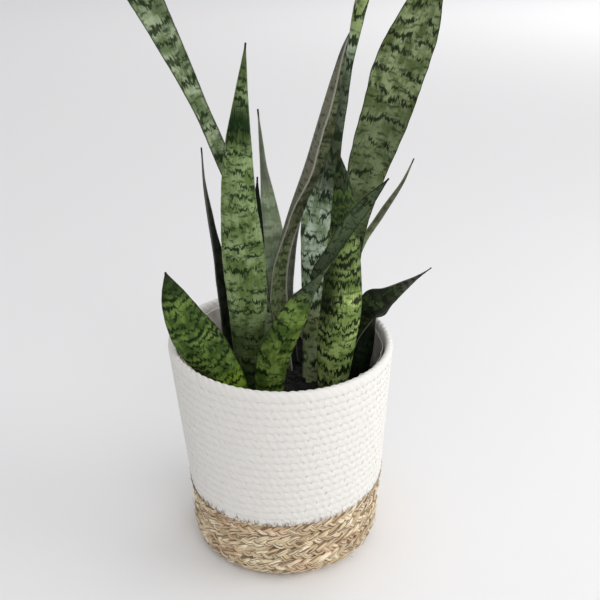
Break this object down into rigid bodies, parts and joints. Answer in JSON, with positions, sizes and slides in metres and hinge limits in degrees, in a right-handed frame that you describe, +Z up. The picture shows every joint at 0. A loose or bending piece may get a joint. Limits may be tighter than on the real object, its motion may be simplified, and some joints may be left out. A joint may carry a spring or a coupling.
{
  "type": "potted snake plant",
  "caption": "Snake plant with tall banded blade leaves in potting soil, in a round basket of white cotton rope above braided seagrass, with a thin plastic liner.",
  "frame": {"origin": "middle of the basket's flat underside", "axes": "+Z up along the basket's axis; -Y towards the side that the plant shows first, with the drooping leaf at +X"},
  "size_m": [0.2897, 0.2222, 0.6373],
  "materials": {
    "cotton_rope": "matt twisted cotton rope, stitched in coils",
    "seagrass": "dry fibrous braid, straw coloured",
    "liner_film": "thin crinkled film with a soft shine",
    "soil": "damp dark potting mix",
    "leaf_green": "smooth waxy leaf with dark wavy cross bands",
    "leaf_grey": "smooth grey-green leaf with fine length stripes and dark bands",
    "leaf_dark": "smooth dark green leaf with faint bands and pale margins"
  },
  "bodies": {
    "root": {"seagrass_base": "seagrass", "cotton_rope_wall": "cotton_rope", "plastic_liner": "liner_film", "potting_soil": "soil", "leaf_low_left": "leaf_green", "leaf_tall_front": "leaf_green", "leaf_long_left": "leaf_grey", "leaf_spike_left": "leaf_dark", "leaf_dark_sliver": "leaf_dark", "leaf_curled_tip": "leaf_grey", "leaf_folded": "leaf_grey", "leaf_long_centre": "leaf_grey", "leaf_crossing": "leaf_green", "leaf_broad_front": "leaf_green", "leaf_long_right": "leaf_green", "leaf_spike_right": "leaf_grey", "leaf_drooping_right": "leaf_dark", "leaf_short_right": "leaf_dark", "leaf_small_centre": "leaf_grey"}
  },
  "joints": []
}
